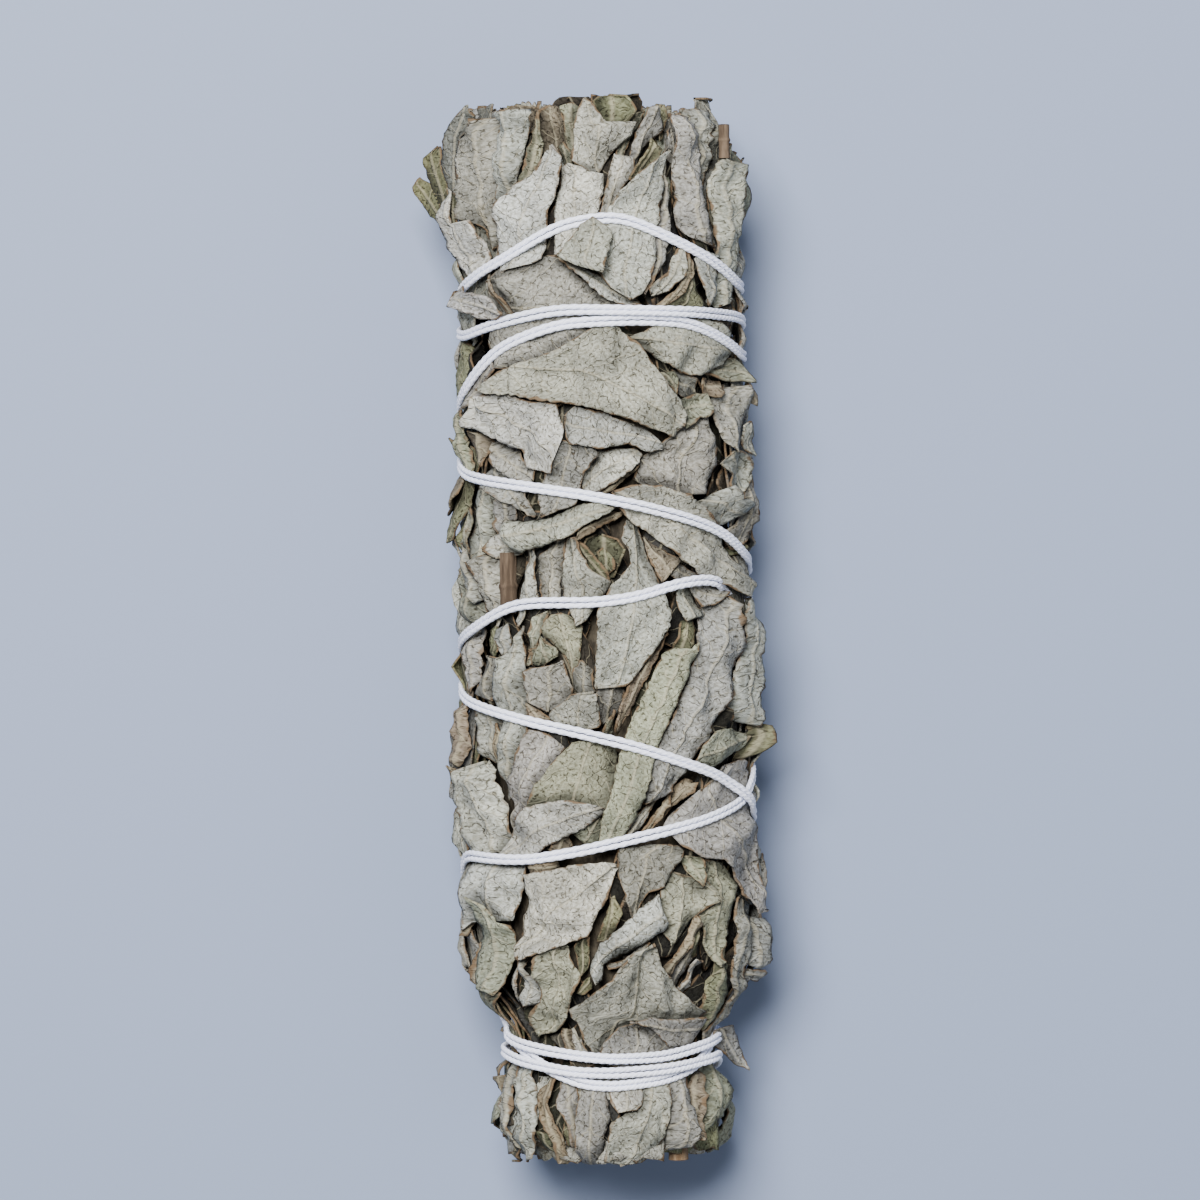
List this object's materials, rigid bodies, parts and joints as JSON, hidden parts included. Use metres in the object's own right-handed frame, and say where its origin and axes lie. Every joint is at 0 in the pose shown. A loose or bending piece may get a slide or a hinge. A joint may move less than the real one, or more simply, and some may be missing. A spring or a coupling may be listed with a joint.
{
  "type": "sage bunch",
  "caption": "Short smudge stick of dried sage leaves packed into a fat bundle and bound with doubled cotton thread; lies on a dish or table until burnt as incense.",
  "frame": {"origin": "centre of the bundle's bounding box, on the surface that it rests on", "axes": "+Y along the bundle towards its leafy top end, +Z up, +X to the right as seen from above with +Y up"},
  "size_m": [0.033, 0.103, 0.0272],
  "materials": {
    "leaf": "dry felted leaf, matte",
    "stalk": "dry woody stalk, matte",
    "thread": "soft white cotton, matte"
  },
  "bodies": {
    "root": {"leaf_bunch": "leaf", "binding_thread": "thread", "stalk_tan": "stalk", "stalk_middle": "stalk", "stalk_left": "stalk", "stalk_low": "stalk", "stalk_top_stub": "stalk"}
  },
  "joints": []
}
